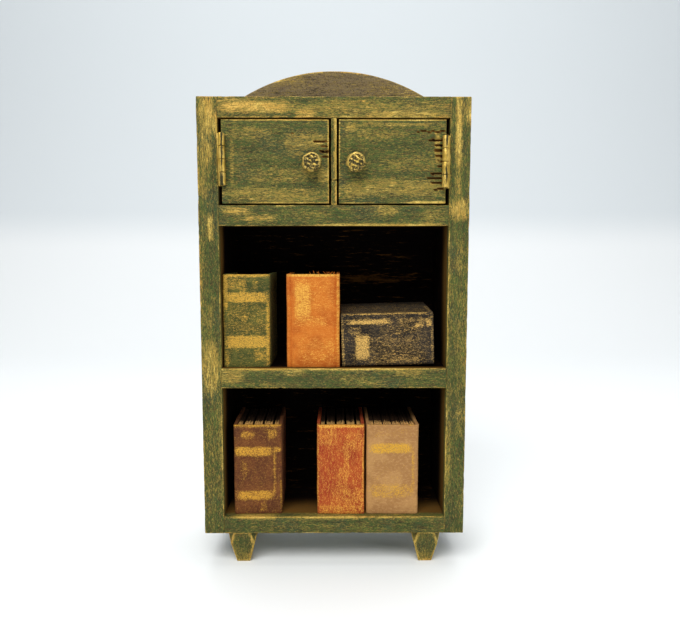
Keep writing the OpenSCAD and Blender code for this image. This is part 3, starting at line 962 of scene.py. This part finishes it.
def makeHinges(material):
    leaf = hinge["leaf"] * mm
    for side, outward in (("left", -1), ("right", 1)):
        pinLow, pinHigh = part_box(f"hinge_{side}_pin")
        centre = (pinLow + pinHigh) / 2
        pitch = (pinHigh.z - pinLow.z) / hinge["count"]
        doorLow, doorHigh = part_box(f"door_{side}")
        wallLow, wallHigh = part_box(f"side_{side}")
        plates = {"frame": (wallHigh.x if outward < 0 else wallLow.x) - outward * leaf / 2,
                  "door": (doorLow.x if outward < 0 else doorHigh.x) + outward * leaf / 2}
        for kind, first, body in (("frame", 0, "carcass"), ("door", 1, f"door_{side}")):
            node = f"hinge_{side}_{kind}_leaf"
            low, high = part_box(node)
            barrel = centre.y - low.y
            plate = startCube("leaf", Vector((plates[kind] - leaf / 2, doorLow.y, low.z)),
                              Vector((plates[kind] + leaf / 2, high.y, high.z)))
            openWhole(plate, "EDGE")
            bpy.ops.mesh.bevel(offset=hinge["round"] * mm, segments=2, affect="EDGES")
            closeEdit()
            parts = [plate]
            for turn in range(first, hinge["count"], 2):
                bottom = pinLow.z + turn * pitch + hinge["gap"] * mm / 2
                parts.append(rolledKnuckle(
                    centre, barrel - leaf / 2, bottom, bottom + pitch - hinge["gap"] * mm,
                    plates[kind], doorLow.y + leaf))
            piece = joinPieces(parts, node + "_rolled")
            finishHinge(piece, material, side, centre, body, node)
        pin = hingePin(f"hinge_{side}_pin_wire", pinLow, pinHigh)
        finishHinge(pin, material, side, centre, "carcass", f"hinge_{side}_pin")


# the turned outline runs out from the door and across, in millimetres; the face is carved
knob = {
    "outline": [(0, 1.32), (0.8, 1.22), (1.1, 1.45), (1.4, 1.95), (1.7, 2.24), (2.1, 2.34),
                (2.6, 2.3), (2.95, 2.16), (3.2, 1.98), (3.3, 1.8), (3.22, 1.62), (3.1, 1.5)],
    "faceTop": 3.42, "faceRings": 12, "facets": 7, "facetDepth": 0.018,
    "ridgePitch": 1.05, "ridgeHeight": 0.34, "ridgeSlope": -34, "lump": 0.16, "turnSteps": 72,
    "drift": 0.03, "driftSize": 0.7,
}


def makeKnobs(material):
    for seed, side in enumerate(["left", "right"]):
        node = f"knob_{side}"
        low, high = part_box(node)
        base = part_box(f"door_{side}")[0].y
        centre = Vector(((low.x + high.x) / 2, base, (low.z + high.z) / 2))
        outline = list(knob["outline"])
        lastOut, lastRadius = outline[-1]
        for ring in range(1, knob["faceRings"] + 1):
            share = ring / knob["faceRings"]
            outline.append((lastOut + (knob["faceTop"] - lastOut) * math.sin(share * math.pi / 2),
                            lastRadius * (1 - share)))
        path = [centre + Vector((r * mm, -out * mm, 0)) for out, r in outline]
        piece = turnedShape(node + "_carved", path, centre, (0, 1, 0), knob["turnSteps"])
        slope = math.radians(knob["ridgeSlope"] + 8 * seed)
        gilt = []
        for vertex in piece.data.vertices:
            spot = (vertex.co - centre) / mm
            out = -spot.y
            around = math.atan2(spot.z, spot.x)
            radius = math.hypot(spot.x, spot.z)
            head = smoothStep(out, 1.0, 1.8)
            facet = 1 + head * knob["facetDepth"] * math.cos(knob["facets"] * around + 0.5 + seed)
            spot.x *= facet
            spot.z *= facet
            across = spot.z * math.cos(slope) - spot.x * math.sin(slope)
            along = spot.x * math.cos(slope) + spot.z * math.sin(slope)
            bend = 0.5 * noise.noise(Vector((along * 0.7, across * 0.5, 3 + seed)))
            wave = math.cos(2 * math.pi * (across + bend) / knob["ridgePitch"])
            broken = 0.6 + 0.9 * noise.noise(Vector((along * 1.4, across * 1.1, 9 + seed)))
            onFace = smoothStep(out, 2.7, 3.1) * (1 - smoothStep(radius, 1.45, 1.75))
            lift = onFace * wave * broken * knob["ridgeHeight"] / 2
            lump = knob["lump"] * head * noise.noise(Vector(spot) * 0.9 + Vector((seed, 4, 2)))
            spot.y -= lift + lump * onFace
            spot.x *= 1 + lump * 0.5
            spot.z *= 1 + lump * 0.5
            vertex.co = centre + spot * mm
            rim = smoothStep(radius, 1.7, 1.95) * smoothStep(out, 2.2, 2.9)
            # painted highlight: the rim is gilded more on its upper side, where the light falls
            upper = 0.5 + 0.5 * math.sin(around - 0.6)
            shown = 0.3 * head + rim * (0.25 + 0.6 * upper)
            shown += onFace * 0.65 * max(0, wave) * max(0.2, min(1, broken))
            gilt.append(min(1, shown))
        mark(piece, "gilt", gilt)
        roughen(piece, knob["drift"], knob["driftSize"], seed + 71)
        finishPiece(piece, material, f"door_{side}", "knob_gilt", node)


# a book is one cloth sheet folded round its signatures, drawn standing at the origin
# strokes are a middle across the spine and up it, half sizes and a strength, in millimetres
bookWork = {"cover": 0.8, "spineRadius": 0.7, "step": 0.42, "soften": 0.16,
            "wobble": 0.1, "wobbleSize": 6.5, "fuzz": 0.03, "fuzzSize": 1.1,
            "turn": 0, "lies": False, "signatures": 4, "groove": 0.0, "spread": 0}
pageWork = {"inset": 0.3, "gap": 0.15, "layers": 3, "layerPitch": 0.34, "sheet": 0.2, "soften": 0.04,
            "gilt": 0.72, "wobble": 0.05, "wobbleSize": 2.2,
            "deep": (34, 20, 10), "light": (70, 46, 26), "gold": (226, 176, 104)}
threadWork = {"count": 16, "rises": 4, "radius": 0.055, "taper": 0.16, "root": 0.6}
books = {
    "green": {
        "brushed": (0.5, 1.5, 1.0),
        "base": (76, 82, 36), "deep": (50, 60, 28), "light": (118, 106, 50),
        "gold": (212, 164, 62), "dust": 0.34,
        "strokes": [
            (5.8, 17.6, 5.4, 1.2, 0.8), (5.8, 6.4, 5.3, 1.6, 0.78), (5.8, 23.2, 6, 0.4, 0.9),
            (0.5, 19, 0.9, 4.4, 0.6), (3.6, 21, 2.4, 1.6, 0.34), (11.2, 9, 0.3, 9, 0.6),
            (5, 20.6, 0.9, 1.9, 0.4), (5.4, 12.2, 0.8, 0.7, 0.5), (8.2, 21, 0.6, 1.5, 0.3),
            (9.4, 3, 1.8, 1.6, 0.4), (1, 2, 0.5, 2.5, 0.4), (6, 12, 5.5, 4, 0.2),
            (0.3, 11, 0.4, 10, 0.4)]},
    "orange": {
        "signatures": 5, "groove": 0.45, "brushed": (0.5, 1.6, 1.0),
        "base": (197, 108, 33), "deep": (176, 86, 22), "light": (214, 138, 56),
        "gold": (230, 178, 74), "dust": 0.3,
        "strokes": [
            (4, 17, 2, 4.8, 0.65), (6, 11.6, 4, 1.2, 0.35), (6.6, 23.2, 6.8, 0.4, 0.9),
            (8, 4, 5, 3, 0.25), (12.8, 12, 0.35, 11, 0.45), (8, 18, 4, 4, 0.2)]},
    "charcoal": {
        "turn": 1.51, "lies": True, "signatures": 5, "spread": 1.1, "brushed": (1.7, 0.42, 1.0),
        "base": (42, 38, 34), "deep": (24, 21, 18), "light": (86, 71, 48),
        "gold": (222, 178, 94), "dust": 0.24,
        "strokes": [
            (11.2, 16, 0.6, 5.6, 0.85), (4.8, 17.9, 3.3, 1.8, 0.8), (10.2, 3.6, 0.8, 1.2, 0.6),
            (11.6, 5, 0.5, 4.4, 0.4), (10.8, 1.2, 1, 0.6, 0.75), (9, 19.8, 1, 1.6, 0.35),
            (4, 11, 4, 9, 0.26), (6, 22.8, 6, 0.4, 0.5), (8, 8, 3, 6, 0.2), (7, 0.4, 6, 0.4, 0.45),
            (13.2, 12, 0.4, 11, 0.6), (1.4, 8, 0.8, 5, 0.4), (20, 12, 8, 12, 0.15),
            (18, 0.6, 5, 0.5, 0.4)]},
    "brown": {
        "turn": 1.5, "brushed": (0.8, 1.2, 1.0),
        "base": (108, 62, 30), "deep": (84, 46, 24), "light": (132, 84, 44),
        "gold": (212, 158, 52), "dust": 0.28,
        "strokes": [
            (4.8, 16.4, 4.8, 1.2, 0.85), (11.1, 16.9, 0.8, 0.5, 0.7), (5.4, 4.9, 4.7, 1.2, 0.8),
            (10.3, 11, 0.35, 6.6, 0.55), (3.6, 20.8, 1.7, 0.9, 0.5), (9.7, 21, 1.2, 1.3, 0.5),
            (6, 23.2, 6.2, 0.35, 0.8), (2.6, 12, 0.7, 1.8, 0.28), (7.5, 1.8, 0.8, 1.3, 0.3),
            (11.9, 5, 0.35, 4, 0.45)]},
    "red": {
        "brushed": (1.5, 0.45, 1.0),
        "base": (166, 66, 30), "deep": (144, 46, 24), "light": (190, 98, 44),
        "gold": (228, 168, 66), "dust": 0.42,
        "strokes": [
            (6, 23.2, 6.2, 0.4, 0.95), (3, 20.5, 2.6, 2.6, 0.3), (9.6, 19, 2, 3, 0.28),
            (7.6, 14, 0.8, 5.5, 0.32), (6.3, 8, 1.8, 5, 0.26), (8, 3.6, 4.6, 3.4, 0.3),
            (11.8, 12, 0.35, 11, 0.45), (6, 1, 6, 1.3, 0.4), (0.3, 12, 0.3, 11, 0.4),
            (6, 12, 6, 10, 0.1)]},
    "tan": {
        "signatures": 5, "brushed": (0.7, 1.2, 1.0),
        "base": (176, 132, 80), "deep": (158, 114, 68), "light": (196, 152, 98),
        "gold": (216, 164, 46), "dust": 0.12,
        "strokes": [
            (6.3, 17.3, 5.5, 1.35, 0.95), (6.3, 6, 5.7, 1.9, 0.6), (11.9, 11, 0.35, 6.6, 0.6),
            (6.6, 23.2, 6.6, 0.3, 0.4), (6, 21.3, 5.4, 1.2, 0.2), (6, 11.5, 5, 3, 0.08)]},
}


def clothMaterial(name, spec):
    # woven cloth, rubbed lighter on its threads, with gold dry-brushed over the crowns
    material, tree, shader = startMaterial(name, 0.85)
    flat = attribute(tree, "flat", True)
    weave = useGroup(tree, clothWeave, {"Map": flat, "Threads": 2.3})["Height"]
    place = objectPlace(tree)
    cloud = noiseField(tree, place, 260.0, 4.0)
    slubs = noiseField(tree, vectorCalc(tree, "MULTIPLY", flat, spec["brushed"]), 1.6, 4.0, 0.7)
    colour = blendColours(tree, ramp(tree, cloud, 0.38, 0.62), tint(*spec["deep"]),
                          tint(*spec["base"]))
    worn = times(tree, ramp(tree, slubs, 0.46, 0.66), weave)
    colour = blendColours(tree, worn, colour, tint(*spec["light"]))
    grit = useGroup(tree, paintGrit, {"Place": place})
    colour = blendColours(tree, times(tree, grit["Pits"], 0.45), colour, tint(*spec["deep"]))
    laid = plus(tree, times(tree, attribute(tree, "gilt"), 0.66), times(tree, weave, spec["dust"]))
    rubbed = brushMask(tree, flat, 4.6, laid, 0.2, 4.0, spec["brushed"])
    rubbed = times(tree, rubbed, grit["Crumbs"])
    tree.links.new(blendColours(tree, rubbed, colour, tint(*spec["gold"])),
                   shader.inputs["Base Color"])
    tree.links.new(ramp(tree, rubbed, 0.0, 1.0, 0.88, 0.55, smooth=False), shader.inputs["Roughness"])
    tree.links.new(times(tree, rubbed, 0.25), shader.inputs["Metallic"])
    addBump(tree, shader, plus(tree, weave, times(tree, slubs, 0.5)), 0.6, 0.00022)
    return material


def paperMaterial():
    material, tree, shader = startMaterial("pagePaper", 0.9)
    place = objectPlace(tree)
    fibre = noiseField(tree, vectorCalc(tree, "MULTIPLY", place, (1, 1, 0.2)), 3000.0, 3.0)
    colour = blendColours(tree, ramp(tree, fibre, 0.35, 0.65), tint(*pageWork["deep"]),
                          tint(*pageWork["light"]))
    flecks = brushMask(tree, place, 2800.0, attribute(tree, "gilt"), 0.12, 8.0)
    tree.links.new(blendColours(tree, flecks, colour, tint(*pageWork["gold"])),
                   shader.inputs["Base Color"])
    addBump(tree, shader, fibre, 0.4, 0.0001)
    return material


def foldedPath(left, width, front, depth, radius, step, cornerSteps=4):
    # a U seen from above: forward along the left, round two corners and back along the right
    right = left + width
    path = []

    def straight(start, end):
        count = max(1, round((end - start).length / step))
        path.extend(start.lerp(end, turn / count) for turn in range(count))

    def corner(middle, startAngle):
        for turn in range(cornerSteps):
            angle = startAngle + math.pi / 2 * turn / cornerSteps
            path.append(middle + Vector((math.cos(angle), math.sin(angle), 0)) * radius)

    straight(Vector((left, front + depth, 0)), Vector((left, front + radius, 0)))
    corner(Vector((left + radius, front + radius, 0)), math.pi)
    straight(Vector((left + radius, front, 0)), Vector((right - radius, front, 0)))
    corner(Vector((right - radius, front + radius, 0)), 1.5 * math.pi)
    straight(Vector((right, front + radius, 0)), Vector((right, front + depth, 0)))
    path.append(Vector((right, front + depth, 0)))
    return path


def raiseSheet(piece, height, step):
    openWhole(piece)
    bpy.ops.mesh.extrude_region_move(TRANSFORM_OT_translate={"value": (0, 0, height)})
    bpy.ops.mesh.select_mode(type="EDGE")
    cutAlong(piece, 2, step)
    closeEdit()


def bookFrame(low, high, spec):
    # size of the closed book and the matrix that puts it where it stands or lies
    turn = math.radians(spec["turn"])
    spanX, depth, spanZ = high - low
    if spec["lies"]:
        length = (spanX * math.cos(turn) - spanZ * math.sin(turn)) / math.cos(2 * turn)
        thickness = (spanZ * math.cos(turn) - spanX * math.sin(turn)) / math.cos(2 * turn)
        corner = low + Vector((thickness * math.sin(turn), 0, 0))
        place = (Matrix.Translation(corner) @ Matrix.Rotation(-turn, 4, "Y")
                 @ Matrix.Translation((length, 0, 0)) @ Matrix.Rotation(-math.pi / 2, 4, "Y"))
        return thickness, depth, length, place
    thickness = (spanX * math.cos(turn) - depth * math.sin(turn)) / math.cos(2 * turn)
    deep = (depth * math.cos(turn) - spanX * math.sin(turn)) / math.cos(2 * turn)
    corner = low + Vector((deep * math.sin(turn), 0, 0))
    return thickness, deep, spanZ, Matrix.Translation(corner) @ Matrix.Rotation(turn, 4, "Z")


def spreadFore(piece, spec, thickness, depth):
    # a loosely closed book is thicker at its fore edge than at its spine
    for vertex in piece.data.vertices:
        share = min(1, max(0, vertex.co.x / thickness)) * min(1, max(0, vertex.co.y / depth))
        vertex.co.x += spec["spread"] * mm * share


def makeCover(colour, spec, size, material, seed):
    thickness, depth, height, place = size
    wide = thickness / mm
    cover = spec["cover"] * mm
    step = spec["step"] * mm
    path = foldedPath(cover / 2, thickness - cover, cover / 2, depth - cover / 2,
                      spec["spineRadius"] * mm - cover / 2, step)
    piece = drawLine(f"book_{colour}_cover_cloth", path)
    raiseSheet(piece, height, step)
    flat = []
    gilt = []
    for vertex in piece.data.vertices:
        x, y, z = vertex.co / mm
        u = x - (y - 0.4) if x < wide / 2 else x + (y - 0.4)
        flat.append((u, z, 0))
        gilt.append(strokeShare((u * mm, 0, z * mm), spec["strokes"], 0.7, 1.25, 6))
    mark(piece, "flat", flat)
    mark(piece, "gilt", gilt)
    thicken(piece, cover, spec["soften"] * mm)
    if spec["groove"]:
        for vertex in piece.data.vertices:
            x, y, z = vertex.co / mm
            near = min(abs(x - 1.15), abs(x - wide + 1.15))
            if y < 0.6:
                vertex.co.y += spec["groove"] * mm * math.exp(-(near / 0.32) ** 2)
                crown = max(0, min(1, 0.5 - abs(z / (height / mm) - 0.5))) * 2
                vertex.co.y += 0.15 * mm * (1 - crown) ** 3
    spreadFore(piece, spec, thickness, depth)
    piece.data.transform(place)
    roughen(piece, spec["wobble"], spec["wobbleSize"], seed + 81)
    roughen(piece, spec["fuzz"], spec["fuzzSize"], seed + 91)
    finishPiece(piece, material, f"book_{colour}", f"cover_{colour}", f"book_{colour}_cover")


def makePages(colour, spec, size, material, seed):
    thickness, depth, height, place = size
    cover = spec["cover"] * mm
    inset = pageWork["inset"] * mm
    gap = pageWork["gap"] * mm
    pitch = (thickness - 2 * cover - gap) / spec["signatures"]
    rng = random.Random(seed)
    sheets = []
    for turn in range(spec["signatures"]):
        left = cover + gap + turn * pitch
        for layer in range(pageWork["layers"]):
            inward = (0.1 + layer * pageWork["layerPitch"]) * mm
            path = foldedPath(left + inward, pitch - gap - 2 * inward, cover + inward,
                              depth - cover - inset - inward - rng.uniform(0, 0.3) * mm,
                              max(0.12 * mm, 0.62 * mm - inward), 1.6 * mm, 3)
            sheet = drawLine("sheet", path)
            tall = height - 2 * inset + rng.uniform(-0.25, 0.1) * mm
            raiseSheet(sheet, tall, 2.4 * mm)
            sheet.data.transform(Matrix.Translation((0, 0, inset)))
            sheets.append(sheet)
    piece = joinPieces(sheets, f"book_{colour}_pages_folded")
    top = height - inset
    # gold flecks on the page heads near the spine, fading towards the fore edge: the flecks are real,
    # the fade is partly painted shade where light falls off
    headGiltFadingToShade = [pageWork["gilt"] * smoothStep(v.co.z, top - 0.9 * mm, top - 0.3 * mm)
             * (1 - 0.9 * smoothStep(v.co.y, 3.2 * mm, 7.5 * mm)) for v in piece.data.vertices]
    mark(piece, "gilt", headGiltFadingToShade)
    thicken(piece, pageWork["sheet"] * mm, pageWork["soften"] * mm)
    spreadFore(piece, spec, thickness, depth)
    piece.data.transform(place)
    roughen(piece, pageWork["wobble"], pageWork["wobbleSize"], seed + 101)
    finishPiece(piece, material, f"book_{colour}", "page_paper", f"book_{colour}_pages")


def makeThreads(size, material):
    # loose cloth fibres standing at the head of the orange book
    thickness, depth, height, place = size
    rng = random.Random(5)
    threads = []
    for turn in range(threadWork["count"]):
        start = Vector((rng.uniform(0.45, 0.95) * thickness, rng.uniform(0.4, 1.6) * mm, height))
        path = [start - Vector((0, 0, threadWork["root"] * mm))]
        lean = Vector((rng.uniform(-0.25, 0.25), rng.uniform(-0.1, 0.25), 0)) * mm
        for rise in range(1, threadWork["rises"] + 1):
            up = Vector((0, 0, rng.uniform(0.18, 0.42) * mm))
            path.append(path[-1] + lean * rise * 0.35 + up)
        thread = drawLine("thread", path)
        skin = thread.modifiers.new("skin", "SKIN")
        skin.use_smooth_shade = True
        for index, corner in enumerate(thread.data.skin_vertices[0].data):
            wide = threadWork["radius"] * mm * (1 - threadWork["taper"] * index)
            corner.radius = (wide, wide)
        finishModifiers(thread)
        threads.append(thread)
    piece = joinPieces(threads, "book_orange_head_threads")
    places = points(piece)
    mark(piece, "flat", places / mm)
    mark(piece, "gilt", [0.1] * len(places))
    piece.data.transform(place)
    finishPiece(piece, material, "book_orange", "cover_orange")


def makeBooks():
    paper = paperMaterial()
    for seed, (colour, ownSpec) in enumerate(books.items()):
        spec = {**bookWork, **ownSpec}
        low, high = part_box(f"book_{colour}_cover")
        size = bookFrame(low, high, spec)
        cloth = clothMaterial(f"{colour}Cloth", spec)
        makeCover(colour, spec, size, cloth, seed)
        makePages(colour, spec, size, paper, seed)
        if colour == "orange":
            makeThreads(size, cloth)
        print("book finished:", colour)


def floorMaterial():
    # white below; higher up behind, painted shade makes the wall a little cooler and darker, where
    # less light reaches it
    material, tree, shader = startMaterial("paleFloor", 0.8)
    place = objectPlace(tree)
    height = addNode(tree, "ShaderNodeSeparateXYZ", {0: place}).outputs[2]
    level = plus(tree, height, times(tree, noiseField(tree, place, 9.0), 0.006))
    high = ramp(tree, level, studio["wallFrom"], studio["wallTo"])
    tree.links.new(blendColours(tree, high, tint(*studio["floorWhite"]), tint(*studio["wallInPaintedShade"])),
                   shader.inputs["Base Color"])
    return material


makeCamera()
makeFloor(floorMaterial())
makeLights()
bpy.context.scene.view_settings.view_transform = "Standard"
print("studio ready")

makeBoards({"x": paintedBoard("paintAcross", "x"), "z": paintedBoard("paintUpright", "z")})
makeBack(paintedBoard("paintBack", "x", palette="back"))
makeFeet(paintedBoard("paintFeet", "z"))
print("carcass finished")
makeDoors(paintedBoard("paintDoors", "x", speckle=0.32, wear=0.05, edge=0.3))
print("doors finished")
makeHinges(agedGilt(**metals["hinge"]))
makeKnobs(agedGilt(**metals["knob"]))
print("hinges and knobs finished")
makeBooks()
